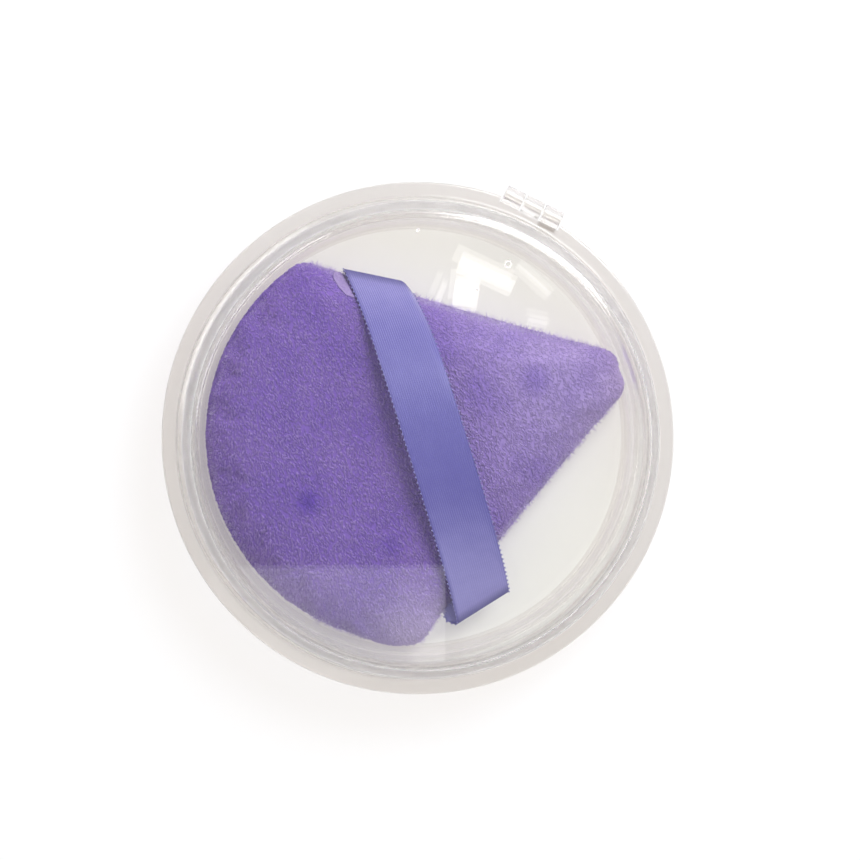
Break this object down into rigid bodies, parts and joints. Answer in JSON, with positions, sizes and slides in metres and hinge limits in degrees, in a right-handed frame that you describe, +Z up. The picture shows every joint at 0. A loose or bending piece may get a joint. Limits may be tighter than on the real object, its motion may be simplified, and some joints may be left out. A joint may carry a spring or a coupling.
{
  "type": "powder puff in case",
  "caption": "Drop-shaped velour powder puff with a satin finger ribbon, lying loose in a round clear case whose lid swings open on a pin hinge.",
  "frame": {"origin": "on the case's axis, at the underside of the base, where the shut case rests on a table", "axes": "+Z up through the base and the lid; +Y towards the hinge; +X along the hinge pin"},
  "size_m": [0.082, 0.0838, 0.025],
  "materials": {
    "clear_plastic": "clear polished injection moulding",
    "pin_plastic": "clear drawn rod, slightly milky",
    "velour": "short-pile purple velour",
    "satin": "blue-violet satin ribbon with picot selvedge",
    "thread": "twisted polyester sewing thread",
    "wadding": "white polyester wadding"
  },
  "bodies": {
    "base": {"case_base": "clear_plastic", "hinge_pin": "pin_plastic"},
    "lid": {"case_lid": "clear_plastic"},
    "puff": {"puff_core": "wadding", "velour_upper_panel": "velour", "velour_lower_panel": "velour", "seam_thread": "thread", "finger_ribbon": "satin"}
  },
  "joints": [
    {"name": "lid_hinge", "type": "hinge", "parent": "base", "child": "lid", "pos_m": [0, 0.04144, 0.0125], "axis": [-1, 0, 0], "range_deg": [0, 180]},
    {"name": "puff_lift", "type": "slide", "parent": "base", "child": "puff", "axis": [0, 0, 1], "range_m": [0, 0.0055]}
  ]
}
